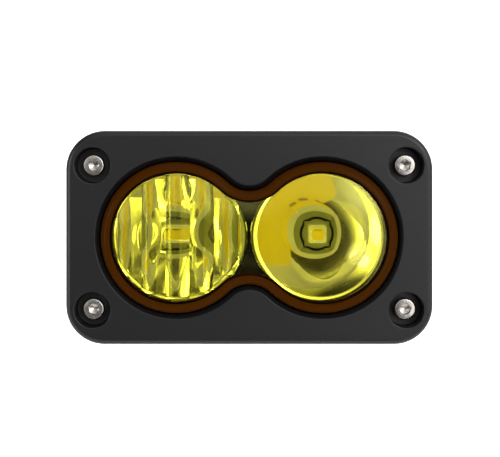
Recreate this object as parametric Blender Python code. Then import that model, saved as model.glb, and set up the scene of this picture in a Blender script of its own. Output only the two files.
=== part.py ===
"""A flush-mount twin-LED fog light, modelled as it comes apart on a bench.

Metres, +Z up. The light looks along -Y. The origin is the middle of the plane in which the
panel gasket meets the vehicle's panel, so everything at +Y sits behind that panel.
"""

import math

import bmesh
import bpy

MM = 0.001
GAP = 0.25 * MM  # clearance kept between pieces that touch on the real light

# Front flange
FLANGE_WIDTH = 92.0 * MM
FLANGE_HEIGHT = 53.6 * MM
FLANGE_CORNER = 9.75 * MM
BEZEL_FILLET = 1.4 * MM
BEZEL_BACK_CHAMFER = 0.4 * MM
SCREW_X = 39.25 * MM
SCREW_Z = 18.1 * MM
SCREW_SIGNS = ((-1, 1), (1, 1), (-1, -1), (1, -1))  # the flange's corners, from its front

# Figure-of-eight outline that the lens, seal, cavity and boards share
LOBE_X = 18.3 * MM  # each LED's axis, left and right of the middle
LENS_RADIUS = 18.95 * MM
WAIST_HALF = 11.7 * MM
WAIST_RADIUS = (LOBE_X**2 + WAIST_HALF**2 - LENS_RADIUS**2) / (2 * (LENS_RADIUS - WAIST_HALF))
WAIST_Z = WAIST_HALF + WAIST_RADIUS

# Places along Y, from the front backwards
BEZEL_FRONT = -12.0 * MM
HOUSING_FRONT = -4.4 * MM
HOUSING_FLANGE_BACK = -1.5 * MM
CAVITY_LEDGE = 1.85 * MM
CAVITY_FLOOR = 15.2 * MM
FIN_ROOT = 19.2 * MM
POCKET_FLOOR = 24.4 * MM
BLOCK_BACK = 26.8 * MM
FIN_TIP = 31.8 * MM

# Bezel
BEZEL_BACK = HOUSING_FRONT - GAP
WINDOW_CLEARANCE = 0.35 * MM
WINDOW_CHAMFER = 1.1 * MM
REBATE_FRONT = -7.0 * MM
COUNTERBORE_RADIUS = 4.5 * MM
COUNTERBORE_DEPTH = 5.8 * MM
COUNTERBORE_CHAMFER = 0.35 * MM
CLEARANCE_HOLE = 1.7 * MM

# Lens
LENS_FRONT = -13.0 * MM
LENS_BACK = -4.9 * MM
LENS_WALL = 2.35 * MM
LENS_SHOULDER = 1.9 * MM
LENS_FLANGE = 1.65 * MM
LENS_FLANGE_THICKNESS = 1.85 * MM
SEAL_INNER = 0.45 * MM
SEAL_OUTER = 1.35 * MM
SEAL_DEPTH = 1.2 * MM

# Housing
BODY_RADIUS = 20.9 * MM
SCREW_HOLE_RADIUS = 1.65 * MM
FIN_PITCH = 4.6 * MM
FIN_THICKNESS = 1.8 * MM
FIN_COUNT = 17
FIN_TIP_ROUND = 3.0 * MM
POCKET_HALF_WIDTH = 8.4 * MM
POCKET_HALF_HEIGHT = 8.2 * MM
BOARD_HOLE_RADIUS = 1.2 * MM
BOARD_HOLE_DEPTH = 2.8 * MM
DRIVER_PAD_RADIUS = 1.9 * MM
DRIVER_HOLE_RADIUS = 0.95 * MM
GLAND_HOLE_RADIUS = 5.0 * MM
LOWER_CAVITY = -1.6 * MM  # offset of the cavity below its ledge

# Optics
FOCAL_LENGTH = 4.4 * MM
RIM_FRONT = -1.8 * MM
APERTURE_RADIUS = 16.3 * MM
RIM_RADIUS = 17.95 * MM
RIM_THICKNESS = 1.2 * MM
REFLECTOR_WALL = 1.3 * MM
REFLECTOR_BACK = 12.3 * MM
VERTEX_Y = RIM_FRONT + APERTURE_RADIUS**2 / (4 * FOCAL_LENGTH)
PIN_RADIUS = 0.45 * MM
NECK_NOTCH = 7.1 * MM  # side of the square whose corners notch the bowl's round neck
CARRIER_FIT = 18.4 * MM  # radius about each LED's axis that is kept free for the rims
CARRIER_LIP = 17.1 * MM
ISLAND_FRONT = -3.0 * MM
ISLAND_HALF_WIDTH = 4.5 * MM
ISLAND_START = 4.0 * MM
OPTIC_PLATE = 0.9 * MM
FLUTE_PITCH = 6.2 * MM
# Each flute's half-height, left to right
FLUTE_HEIGHTS = (10.1 * MM, 14.9 * MM, 16.3 * MM, 14.9 * MM, 10.1 * MM)
FLUTE_DEPTH = 1.75 * MM
FLUTE_VALLEY = 0.75 * MM

# LED board and LEDs
BOARD_FRONT = 12.6 * MM
PEDESTAL_FRONT = 9.8 * MM
PEDESTAL_SIZE = 5.5 * MM
BOARD_THICKNESS = 1.6 * MM
BOARD_OFFSET = -2.0 * MM
PAD_THICKNESS = 0.5 * MM
LED_SIZE = 5.0 * MM
LED_BASE_THICKNESS = 0.6 * MM
DIE_SIZE = 2.4 * MM
DIE_THICKNESS = 0.15 * MM
DOME_RADIUS = 2.3 * MM
BOARD_SCREW_X = 26.0 * MM
BOARD_SCREW_Z = 11.0 * MM

# Driver
DRIVER_FRONT = 22.4 * MM
DRIVER_THICKNESS = 1.0 * MM
DRIVER_SCREW_X = 6.0 * MM
DRIVER_SCREW_Z = 5.9 * MM
LINK_X = -6.3 * MM
LINK_Z = -1.2 * MM

# Panel fixing, for a panel 3 mm thick
PANEL_THICKNESS = 3.0 * MM
SCREW_HEAD_RADIUS = 2.75 * MM
SCREW_HEAD_HEIGHT = 3.0 * MM
SCREW_RADIUS = 1.45 * MM
SCREW_LENGTH = 16.0 * MM
WASHER_THICKNESS = 0.5 * MM
NUT_FLATS = 5.5 * MM
NUT_HEIGHT = 4.0 * MM

# Cable gland and breather
CABLE_BORE = 2.5 * MM
GLAND_BOSS = 7.5 * MM
GLAND_FLATS = 13.0 * MM
VENT_Y = 7.0 * MM
VENT_SEAT_Z = -18.3 * MM

FINE, MEDIUM, COARSE = 28, 18, 12  # sides of a round piece, by its size


# ---------------------------------------------------------------- outlines, in X and Z


def arc(centre_x, centre_z, radius, start, end, steps):
    """Points on an arc from start to end degrees, both ends included."""
    angles = (math.radians(start + (end - start) * i / steps) for i in range(steps + 1))
    return [(centre_x + radius * math.cos(a), centre_z + radius * math.sin(a)) for a in angles]


def circle(radius, sides=MEDIUM, centre_x=0.0, centre_z=0.0):
    return arc(centre_x, centre_z, radius, 0, 360, sides)[:-1]


def polygon(flats, sides=6):
    """A regular polygon of that width across its flats."""
    corner = flats / 2 / math.cos(math.pi / sides)
    return circle(corner, sides)


def rounded_rectangle(width, height, corner, steps=8):
    x, z = width / 2 - corner, height / 2 - corner
    corners = ((x, z, 0), (-x, z, 90), (-x, -z, 180), (x, -z, 270))
    return [point for cx, cz, start in corners for point in arc(cx, cz, corner, start, start + 90, steps)]


def rectangle(width, height, centre_x=0.0, centre_z=0.0):
    x, z = width / 2, height / 2
    return [(centre_x + sx * x, centre_z + sz * z) for sx, sz in ((1, 1), (-1, 1), (-1, -1), (1, -1))]


def stadium(radius, steps=12):
    """Two half circles about the LEDs' axes, joined by straight lines."""
    return arc(LOBE_X, 0, radius, -90, 90, steps) + arc(-LOBE_X, 0, radius, 90, 270, steps)


def figure_eight(offset=0.0, lobe_steps=20, waist_steps=5):
    """The lens's outline, moved outwards by offset: two round lobes joined by a hollow waist."""
    tangent = math.degrees(math.atan2(WAIST_Z, -LOBE_X))
    lobe, waist = LENS_RADIUS + offset, WAIST_RADIUS - offset
    right = arc(LOBE_X, 0, lobe, -tangent, tangent, lobe_steps)
    left = arc(-LOBE_X, 0, lobe, 180 - tangent, 180 + tangent, lobe_steps)
    top = arc(0, WAIST_Z, waist, tangent - 180, -tangent, waist_steps)[1:-1]
    bottom = arc(0, -WAIST_Z, waist, tangent, 180 - tangent, waist_steps)[1:-1]
    return right + top + left + bottom


# ---------------------------------------------------------------- solids


def ring(outline, y):
    return [(x, y, z) for x, z in outline]


def new_object(name, bm):
    bmesh.ops.recalc_face_normals(bm, faces=bm.faces)
    mesh = bpy.data.meshes.new(name)
    bm.to_mesh(mesh)
    bm.free()
    made = bpy.data.objects.new(name, mesh)
    bpy.context.scene.collection.objects.link(made)
    return made


def loft(name, rings, closed=False):
    """A skin over rings of equal length, in order.

    Closed joins the last ring to the first, and otherwise both ends are capped.
    """
    bm = bmesh.new()
    loops = [[bm.verts.new(point) for point in points] for points in rings]
    pairs = list(zip(loops, loops[1:]))
    if closed:
        pairs.append((loops[-1], loops[0]))
    else:
        bm.faces.new(loops[0][::-1])
        bm.faces.new(loops[-1])
    for first, second in pairs:
        for i in range(len(first)):
            j = (i + 1) % len(first)
            bm.faces.new((first[i], first[j], second[j], second[i]))
    return new_object(name, bm)


def prism(name, outline, front, back):
    return loft(name, [ring(outline, front), ring(outline, back)])


def band(name, outer, inner, front, back):
    """A flat ring between two outlines of equal length."""
    rings = [ring(outer, front), ring(outer, back), ring(inner, back), ring(inner, front)]
    return loft(name, rings, closed=True)


def turned(name, profile, sides=MEDIUM, hollow=False):
    """A piece turned about the Y axis from (radius, y) points.

    Hollow means that the profile is a closed loop clear of the axis.
    """
    return loft(name, [ring(circle(radius, sides), y) for radius, y in profile], closed=hollow)


def box(name, width, height, front, back, centre_x=0.0, centre_z=0.0):
    return prism(name, rectangle(width, height, centre_x, centre_z), front, back)


def moved(made, x=0.0, y=0.0, z=0.0):
    """Moves a piece's points, so that a cutter can be placed before it is used."""
    for vertex in made.data.vertices:
        vertex.co.x += x
        vertex.co.y += y
        vertex.co.z += z
    return made


def combine(body, others, operation):
    """Joins the others to body, or cuts them from it, and removes them."""
    for other in others:
        modifier = body.modifiers.new(operation.lower(), "BOOLEAN")
        modifier.operation = operation
        modifier.object = other
        bpy.context.view_layer.objects.active = body
        bpy.ops.object.modifier_apply(modifier=modifier.name)
        bpy.data.objects.remove(other)
    return body


def cut(body, *cutters):
    return combine(body, cutters, "DIFFERENCE")


def join(body, *others):
    return combine(body, others, "UNION")


def material(name, colour, roughness, metallic=0.0):
    """The named material, made the first time that it is asked for."""
    found = bpy.data.materials.get(name)
    if found is None:
        found = bpy.data.materials.new(name)
        found.use_nodes = True
        shader = found.node_tree.nodes["Principled BSDF"]
        shader.inputs["Base Color"].default_value = (*colour, 1.0)
        shader.inputs["Roughness"].default_value = roughness
        shader.inputs["Metallic"].default_value = metallic
    return found


def finished(made, *look, sharp=35):
    made.data.materials.clear()
    made.data.materials.append(material(*look))
    made.data.shade_smooth()
    made.data.set_sharp_from_angle(angle=math.radians(sharp))
    return made


BLACK_METAL = ("black_metal", (0.022, 0.022, 0.023), 0.5)
BLACK_PLASTIC = ("black_plastic", (0.015, 0.015, 0.015), 0.45)
RUBBER = ("rubber", (0.02, 0.02, 0.02), 0.85)
SILICONE = ("silicone", (0.35, 0.08, 0.04), 0.6)
AMBER = ("amber_plastic", (0.9, 0.55, 0.03), 0.08)
CLEAR = ("clear_plastic", (0.85, 0.85, 0.8), 0.08)
MIRROR = ("mirror", (0.9, 0.9, 0.88), 0.06, 1.0)
STEEL = ("stainless_steel", (0.55, 0.53, 0.5), 0.28, 1.0)
NYLON = ("nylon", (0.7, 0.72, 0.75), 0.5)
BOARD_WHITE = ("board_white", (0.75, 0.76, 0.74), 0.5)
BOARD_GREEN = ("board_green", (0.03, 0.16, 0.07), 0.45)
PAD_GREY = ("pad_grey", (0.4, 0.42, 0.45), 0.9)
CERAMIC = ("ceramic", (0.8, 0.8, 0.76), 0.5)
PHOSPHOR = ("phosphor", (0.85, 0.6, 0.05), 0.7)
CHIP_BLACK = ("chip_black", (0.02, 0.02, 0.02), 0.6)
CAN_METAL = ("can_metal", (0.75, 0.75, 0.76), 0.3, 1.0)


# ---------------------------------------------------------------- flange, lens and seals


def corner_places():
    return [(sx * SCREW_X, sz * SCREW_Z) for sx, sz in SCREW_SIGNS]


def front_bezel():
    """The front frame: a filleted plate with the lens window, the lens's rebate and four counterbores."""

    def outline(inset, y):
        return ring(
            rounded_rectangle(FLANGE_WIDTH - 2 * inset, FLANGE_HEIGHT - 2 * inset, FLANGE_CORNER - inset), y
        )

    fillet_steps = 3
    turns = [math.pi / 2 * (fillet_steps - i) / fillet_steps for i in range(fillet_steps + 1)]
    rings = [
        outline(BEZEL_FILLET * (1 - math.cos(t)), BEZEL_FRONT + BEZEL_FILLET * (1 - math.sin(t)))
        for t in turns
    ]
    rings.append(outline(0, BEZEL_BACK - BEZEL_BACK_CHAMFER))
    rings.append(outline(BEZEL_BACK_CHAMFER, BEZEL_BACK))
    plate = loft("front_bezel", rings)

    chamfer_front = BEZEL_FRONT - WINDOW_CHAMFER
    window = loft(
        "window_cutter",
        [
            ring(figure_eight(WINDOW_CLEARANCE + 2 * WINDOW_CHAMFER), chamfer_front),
            ring(figure_eight(WINDOW_CLEARANCE), BEZEL_FRONT + WINDOW_CHAMFER),
            ring(figure_eight(WINDOW_CLEARANCE), BEZEL_BACK + MM),
        ],
    )
    rebate = prism("rebate_cutter", figure_eight(LENS_FLANGE + GAP), REBATE_FRONT, BEZEL_BACK + MM)
    cut(plate, window, rebate)
    bottom = BEZEL_FRONT + COUNTERBORE_DEPTH
    for x, z in corner_places():
        bore = turned(
            "bore_cutter",
            [
                (COUNTERBORE_RADIUS + 2 * COUNTERBORE_CHAMFER, BEZEL_FRONT - COUNTERBORE_CHAMFER),
                (COUNTERBORE_RADIUS, BEZEL_FRONT + COUNTERBORE_CHAMFER),
                (COUNTERBORE_RADIUS, bottom),
                (CLEARANCE_HOLE, bottom),
                (CLEARANCE_HOLE, BEZEL_BACK + MM),
            ],
        )
        cut(plate, moved(bore, x=x, z=z))
    return finished(plate, *BLACK_METAL)


def lens():
    """A cup-shaped amber moulding: a flat front, rounded shoulders, a deep side wall and a foot flange."""
    inner_face = LENS_FRONT + LENS_WALL
    flange_front = LENS_BACK - LENS_FLANGE_THICKNESS
    inner_round = 0.6 * MM
    shoulder_steps = 4
    turns = [math.pi / 2 * i / shoulder_steps for i in range(shoulder_steps + 1)]
    rings = [
        ring(figure_eight(-LENS_WALL - inner_round), inner_face),
        ring(figure_eight(-LENS_WALL), inner_face + inner_round),
        ring(figure_eight(-LENS_WALL), LENS_BACK),
        ring(figure_eight(LENS_FLANGE), LENS_BACK),
        ring(figure_eight(LENS_FLANGE), flange_front),
        ring(figure_eight(0), flange_front),
    ]
    rings += [
        ring(
            figure_eight(-LENS_SHOULDER * (1 - math.cos(t))),
            LENS_FRONT + LENS_SHOULDER * (1 - math.sin(t)),
        )
        for t in turns
    ]
    return finished(loft("lens", rings), *AMBER, sharp=40)


def lens_seal():
    front, back = LENS_BACK + GAP, HOUSING_FRONT + SEAL_DEPTH - GAP
    inner, outer = SEAL_INNER + GAP / 2, SEAL_OUTER - GAP / 2
    seal = band("lens_seal", figure_eight(outer), figure_eight(inner), front, back)
    return finished(seal, *SILICONE)


def panel_gasket():
    """A flat rubber gasket between the housing's flange and the panel, with the four screw holes."""
    inset, round_hole = 0.5 * MM, 2.0 * MM
    outline = rounded_rectangle(FLANGE_WIDTH - 2 * inset, FLANGE_HEIGHT - 2 * inset, FLANGE_CORNER - inset)
    front = HOUSING_FLANGE_BACK + GAP
    gasket = prism("panel_gasket", outline, front, 0.0)
    cut(gasket, prism("body_cutter", stadium(BODY_RADIUS + 2 * GAP), front - MM, MM))
    for x, z in corner_places():
        cut(gasket, prism("hole_cutter", circle(round_hole, COARSE, x, z), front - MM, MM))
    return finished(gasket, *RUBBER)


# ---------------------------------------------------------------- housing


def fin_slots():
    """One cutter for every gap between the fins. The gaps behind the driver pocket start further back."""
    slots = []
    half = FIN_PITCH * FIN_COUNT / 2
    gap_width = FIN_PITCH - FIN_THICKNESS
    for i in range(FIN_COUNT + 1):
        x = -half + i * FIN_PITCH
        over_pocket = abs(x) < POCKET_HALF_WIDTH
        front = BLOCK_BACK if over_pocket else FIN_ROOT
        slots.append(box(f"slot_{i}", gap_width, 3 * BODY_RADIUS, front, FIN_TIP + MM, centre_x=x))
    return slots


def housing():
    """The die-cast body: mounting flange, finned stadium body, figure-of-eight cavity and driver pocket."""
    round_steps = 3
    turns = [math.pi / 2 * i / round_steps for i in range(round_steps + 1)]
    rings = [ring(stadium(BODY_RADIUS), HOUSING_FRONT + MM)]
    rings += [
        ring(
            stadium(BODY_RADIUS - FIN_TIP_ROUND * (1 - math.cos(t))),
            FIN_TIP - FIN_TIP_ROUND * (1 - math.sin(t)),
        )
        for t in turns
    ]
    body = loft("housing", rings)
    cut(body, *fin_slots())
    outline = rounded_rectangle(FLANGE_WIDTH, FLANGE_HEIGHT, FLANGE_CORNER)
    boss = turned("gland_boss", [(GLAND_BOSS, BLOCK_BACK - MM), (GLAND_BOSS, FIN_TIP)], FINE)
    join(body, prism("flange", outline, HOUSING_FRONT, HOUSING_FLANGE_BACK), boss)

    front = HOUSING_FRONT - MM
    cut(
        body,
        prism("upper_cavity", figure_eight(0), front, CAVITY_LEDGE),
        prism("lower_cavity", figure_eight(LOWER_CAVITY), CAVITY_LEDGE - MM, CAVITY_FLOOR),
        box(
            "driver_pocket",
            2 * POCKET_HALF_WIDTH,
            2 * POCKET_HALF_HEIGHT,
            CAVITY_FLOOR - MM,
            POCKET_FLOOR,
        ),
        band(
            "seal_groove",
            figure_eight(SEAL_OUTER),
            figure_eight(SEAL_INNER),
            front,
            HOUSING_FRONT + SEAL_DEPTH,
        ),
        prism("gland_hole", circle(GLAND_HOLE_RADIUS, FINE), POCKET_FLOOR - MM, FIN_TIP + MM),
    )
    for x, z in corner_places():
        cut(body, prism("screw_hole", circle(SCREW_HOLE_RADIUS, COARSE, x, z), front, MM))
    for x, z in board_screw_places():
        hole = circle(BOARD_HOLE_RADIUS, COARSE, x, z)
        cut(body, prism("board_hole", hole, CAVITY_FLOOR - MM, CAVITY_FLOOR + BOARD_HOLE_DEPTH))
    pad_front = DRIVER_FRONT + DRIVER_THICKNESS + GAP
    hole_end = BLOCK_BACK - 0.8 * MM
    for x, z in driver_screw_places():
        pad, hole = circle(DRIVER_PAD_RADIUS, COARSE, x, z), circle(DRIVER_HOLE_RADIUS, COARSE, x, z)
        join(body, prism("driver_pad", pad, pad_front, POCKET_FLOOR + 0.5 * MM))
        cut(body, prism("driver_hole", hole, pad_front - MM, hole_end))
    cut(body, vent_seat())
    return finished(body, *BLACK_METAL)


def vent_seat():
    """The breather's stepped hole, from the underside up into the cavity's waist."""
    recess, stem_hole, inner_end = 5.2 * MM, 2.4 * MM, -9.0 * MM
    seat = turned(
        "vent_seat",
        [
            (recess, -BODY_RADIUS - MM),
            (recess, VENT_SEAT_Z),
            (stem_hole, VENT_SEAT_Z),
            (stem_hole, inner_end),
        ],
    )
    return upright(seat, VENT_Y)


def upright(made, y):
    """Turns a piece made about the Y axis so that its old y runs along Z, and moves it to y."""
    for vertex in made.data.vertices:
        x, along, across = vertex.co
        vertex.co = (x, y + across, along)
    made.data.flip_normals()
    return made


# ---------------------------------------------------------------- optics


def bowl_radius(y):
    """The paraboloid's radius at y. Its focus is at the LED's phosphor."""
    return math.sqrt(4 * FOCAL_LENGTH * (VERTEX_Y - y))


def pin_offset():
    """How far a reflector's locating pins stand from its axis."""
    return bowl_radius(REFLECTOR_BACK) + REFLECTOR_WALL - PIN_RADIUS - 0.05 * MM


def reflector(name, centre_x):
    """A paraboloid shell with a flat rim, a notched neck round the LED's pedestal and two pins."""
    steps = 7
    depths = [RIM_FRONT + (REFLECTOR_BACK - RIM_FRONT) * i / steps for i in range(steps + 1)]
    rim_back = RIM_FRONT + RIM_THICKNESS
    inside = [(bowl_radius(y), y) for y in depths]
    outside = [(bowl_radius(y) + REFLECTOR_WALL, y) for y in reversed(depths[1:])]
    shoulder = bowl_radius(rim_back) + REFLECTOR_WALL
    profile = inside + outside + [(shoulder, rim_back), (RIM_RADIUS, rim_back), (RIM_RADIUS, RIM_FRONT)]
    shell = turned(name, profile, FINE, hollow=True)
    cut(shell, box("notch_cutter", NECK_NOTCH, NECK_NOTCH, REFLECTOR_BACK - MM, REFLECTOR_BACK + MM))
    pin_front, pin_back = REFLECTOR_BACK - 0.1 * MM, BOARD_FRONT + 1.0 * MM
    for side in (-1, 1):
        join(shell, prism("pin", circle(PIN_RADIUS, 8, side * pin_offset(), 0), pin_front, pin_back))
    shell.location.x = centre_x
    return finished(shell, *MIRROR, sharp=30)


def optic_carrier():
    """The black plate behind both reflectors' rims, with two raised islands that fill the lens's waist."""
    front, back = RIM_FRONT + RIM_THICKNESS + GAP, CAVITY_LEDGE - GAP
    carrier = prism("optic_carrier", figure_eight(-0.3 * MM), ISLAND_FRONT, back)
    far = FLANGE_WIDTH / 2
    side_width = far - ISLAND_HALF_WIDTH
    above = ISLAND_FRONT - MM
    for side in (-1, 1):
        centre = side * (ISLAND_HALF_WIDTH + side_width / 2)
        cut(
            carrier,
            box("side_cutter", side_width, FLANGE_HEIGHT, above, front, centre_x=centre),
            prism("rim_cutter", circle(CARRIER_FIT, FINE, side * LOBE_X), above, front),
            prism("lip_cutter", circle(CARRIER_LIP, FINE, side * LOBE_X), above, back + MM),
        )
    cut(carrier, box("middle_cutter", 3 * ISLAND_HALF_WIDTH, 2 * ISLAND_START, above, front))
    return finished(carrier, *BLACK_PLASTIC)


def fluted_optic():
    """A clear disc with five upright flutes in front, whose ends step back towards the sides."""
    back = RIM_FRONT - GAP
    front = back - OPTIC_PLATE
    disc = turned("fluted_optic", [(RIM_RADIUS, front), (RIM_RADIUS, back)], FINE)
    crest = front - FLUTE_DEPTH
    half = FLUTE_PITCH / 2
    rise = FLUTE_DEPTH - FLUTE_VALLEY
    radius = (half**2 + rise**2) / (2 * rise)
    sweep = math.asin(half / radius)
    steps = 6
    lap = 0.02 * MM  # neighbouring flutes overlap by this, so that they join into one body
    foot = front + 0.3 * MM
    for i, half_height in enumerate(FLUTE_HEIGHTS):
        centre = (i - (len(FLUTE_HEIGHTS) - 1) / 2) * FLUTE_PITCH
        angles = [sweep * (2 * k / steps - 1) for k in range(steps + 1)]
        section = [
            (centre + (radius + lap) * math.sin(a), crest + radius * (1 - math.cos(a))) for a in angles
        ]
        section += [(centre + half + lap, foot), (centre - half - lap, foot)]
        loops = [[(x, y, z) for x, y in section] for z in (-half_height, half_height)]
        join(disc, loft("flute", loops))
    edge = RIM_RADIUS - 0.4 * MM  # the flutes stop short of the disc's rim
    cut(disc, band("edge_cutter", circle(2 * edge, FINE), circle(edge, FINE), crest - MM, foot + 0.05 * MM))
    disc.location.x = -LOBE_X
    return finished(disc, *CLEAR, sharp=40)


# ---------------------------------------------------------------- LED board and LEDs


def board_screw_places():
    return [(sx * BOARD_SCREW_X, sz * BOARD_SCREW_Z) for sx, sz in SCREW_SIGNS]


def led_board():
    """The metal-core board, with a square pedestal that lifts each LED to its bowl's focus."""
    back = BOARD_FRONT + BOARD_THICKNESS
    board = prism("led_board", figure_eight(BOARD_OFFSET), BOARD_FRONT, back)
    side, corner = PEDESTAL_SIZE, 0.5 * MM
    for centre_x in (-LOBE_X, LOBE_X):
        pedestal = prism("pedestal", rounded_rectangle(side, side, corner, 2), PEDESTAL_FRONT, back - MM)
        join(board, moved(pedestal, x=centre_x))
    holes = [(x, z, 1.5 * MM) for x, z in board_screw_places()]
    for centre_x in (-LOBE_X, LOBE_X):
        holes += [(centre_x + sign * pin_offset(), 0.0, PIN_RADIUS + GAP) for sign in (-1, 1)]
    for x, z, radius in holes:
        cut(board, prism("hole", circle(radius, COARSE, x, z), BOARD_FRONT - MM, back + MM))
    slot_width, slot_height = 2.0 * MM, 5.4 * MM
    slot = box("link_slot", slot_width, slot_height, BOARD_FRONT - MM, back + MM, LINK_X, LINK_Z)
    return finished(cut(board, slot), *BOARD_WHITE)


def thermal_pad():
    """The soft heat-transfer pad between the LED board and the housing, cut out over the driver pocket."""
    front = BOARD_FRONT + BOARD_THICKNESS + GAP
    pad = prism("thermal_pad", figure_eight(BOARD_OFFSET), front, front + PAD_THICKNESS)
    pocket = box(
        "pocket_hole", 2 * POCKET_HALF_WIDTH, 2 * POCKET_HALF_HEIGHT, front - MM, front + 2 * MM
    )
    cut(pad, pocket)
    for x, z in board_screw_places():
        cut(pad, prism("hole", circle(1.6 * MM, COARSE, x, z), front - MM, front + 2 * MM))
    return finished(pad, *PAD_GREY)


def led(side, centre_x):
    """One LED: a ceramic base on its pedestal, a square phosphor die, and a silicone dome over both."""
    gap, corner = 0.1 * MM, 0.3 * MM
    base_back = PEDESTAL_FRONT - gap
    base_front = base_back - LED_BASE_THICKNESS
    die_back = base_front - gap
    die_front = die_back - DIE_THICKNESS
    base_outline = rounded_rectangle(LED_SIZE, LED_SIZE, corner, 2)
    base = prism(f"led_base_{side}", base_outline, base_front, base_back)
    die = box(f"led_die_{side}", DIE_SIZE, DIE_SIZE, die_front, die_back)
    steps = 5
    turns = [math.pi / 2 * i / steps for i in range(steps)]
    profile = [(DOME_RADIUS * math.cos(t), die_back - DOME_RADIUS * math.sin(t)) for t in turns]
    dome = turned(f"led_dome_{side}", profile)
    hollow = DIE_SIZE + 4 * gap
    cut(dome, box("die_hollow", hollow, hollow, die_front - gap, die_back + MM))
    for made, look in ((base, CERAMIC), (die, PHOSPHOR), (dome, CLEAR)):
        made.location.x = centre_x
        finished(made, *look)


# ---------------------------------------------------------------- driver


def driver_screw_places():
    return [(DRIVER_SCREW_X, -DRIVER_SCREW_Z), (-DRIVER_SCREW_X, DRIVER_SCREW_Z)]


def driver_board():
    back = DRIVER_FRONT + DRIVER_THICKNESS
    width, height = 2 * POCKET_HALF_WIDTH - 0.6 * MM, 2 * POCKET_HALF_HEIGHT - 0.6 * MM
    board = prism("driver_board", rounded_rectangle(width, height, 0.8 * MM, 2), DRIVER_FRONT, back)
    for x, z in driver_screw_places():
        cut(board, prism("hole", circle(1.25 * MM, COARSE, x, z), DRIVER_FRONT - MM, back + MM))
    cable_hole = prism("cable_hole", circle(1.5 * MM, COARSE), DRIVER_FRONT - MM, back + MM)
    return finished(cut(board, cable_hole), *BOARD_GREEN)


def inductor():
    """A shielded power inductor: a square ferrite block with a round core standing in its top."""
    foot = DRIVER_FRONT - GAP
    size, height = 6.0 * MM, 3.6 * MM
    block = prism("inductor", rounded_rectangle(size, size, 1.2 * MM, 3), foot - height, foot)
    groove = turned(
        "core_groove",
        [
            (2.4 * MM, foot - height - MM),
            (2.4 * MM, foot - height + 0.6 * MM),
            (1.7 * MM, foot - height + 0.6 * MM),
            (1.7 * MM, foot - height - MM),
        ],
        hollow=True,
    )
    cut(block, groove)
    block.location = (4.4 * MM, 0, 4.3 * MM)
    return finished(block, *CHIP_BLACK)


def capacitor(name, x, z):
    """A small can capacitor on a square plastic base."""
    foot = DRIVER_FRONT - GAP
    base_height, can_height, radius = 0.8 * MM, 4.4 * MM, 1.9 * MM
    base = prism(name, rounded_rectangle(2 * radius, 2 * radius, 0.5 * MM, 2), foot - base_height, foot)
    top = foot - base_height - can_height
    can = turned(
        "can",
        [(radius - 0.3 * MM, top), (radius, top + 0.3 * MM), (radius, foot - base_height + 0.2 * MM)],
        16,
    )
    join(base, can)
    base.location = (x, 0, z)
    return finished(base, *CAN_METAL)


def flat_part(name, width, height, thickness, x, z):
    """A moulded chip or diode with its lead feet out of both sides."""
    foot = DRIVER_FRONT - GAP
    body = box(name, width, height, foot - thickness, foot - 0.15 * MM)
    join(body, box("feet", width * 0.5, height + 1.2 * MM, foot - 0.35 * MM, foot))
    body.location = (x, 0, z)
    return finished(body, *CHIP_BLACK)


def board_link():
    """The pin strip that carries the current from the driver board to the LED board."""
    foot = DRIVER_FRONT - GAP
    strip = box("board_link", 1.6 * MM, 5.0 * MM, foot - 2.0 * MM, foot)
    width, pitch = 0.6 * MM, 1.6 * MM
    for step in (-1, 0, 1):
        join(strip, box("pin", width, width, BOARD_FRONT - 0.4 * MM, foot - MM, centre_z=step * pitch))
    strip.location = (LINK_X, 0, LINK_Z)
    return finished(strip, *CHIP_BLACK)


# ---------------------------------------------------------------- fasteners


def pan_screw_mesh(name, head_radius, head_height, radius, length):
    """A pan-head screw whose head sits on y = 0, with its shank towards +Y and a hex recess in front."""
    profile = [
        (head_radius * 0.75, -head_height),
        (head_radius, -head_height * 0.5),
        (head_radius, 0.0),
        (radius, 0.0),
        (radius, length),
    ]
    screw = turned(name, profile, COARSE)
    return cut(screw, prism("recess", polygon(0.8 * head_radius), -head_height - MM, -head_height * 0.45))


def place_copies(first, names_and_places, look):
    """Gives the first piece the first name and place, and each other place a copy that shares its mesh."""
    for i, (name, place) in enumerate(names_and_places):
        made = first
        if i:
            made = bpy.data.objects.new(name, first.data)
            bpy.context.scene.collection.objects.link(made)
        made.name = name
        made.location = place
    finished(first, *look)


def small_screws():
    head_front = BOARD_FRONT - GAP
    board_screw = pan_screw_mesh("led_board_screw_1", 2.0 * MM, 1.5 * MM, 1.0 * MM, 5.0 * MM)
    places = [(x, head_front, z) for x, z in board_screw_places()]
    place_copies(board_screw, [(f"led_board_screw_{i + 1}", p) for i, p in enumerate(places)], STEEL)
    driver_screw = pan_screw_mesh("driver_screw_1", 1.7 * MM, 1.2 * MM, 0.75 * MM, 3.2 * MM)
    places = [(x, DRIVER_FRONT - GAP, z) for x, z in driver_screw_places()]
    place_copies(driver_screw, [(f"driver_screw_{i + 1}", p) for i, p in enumerate(places)], STEEL)


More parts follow.
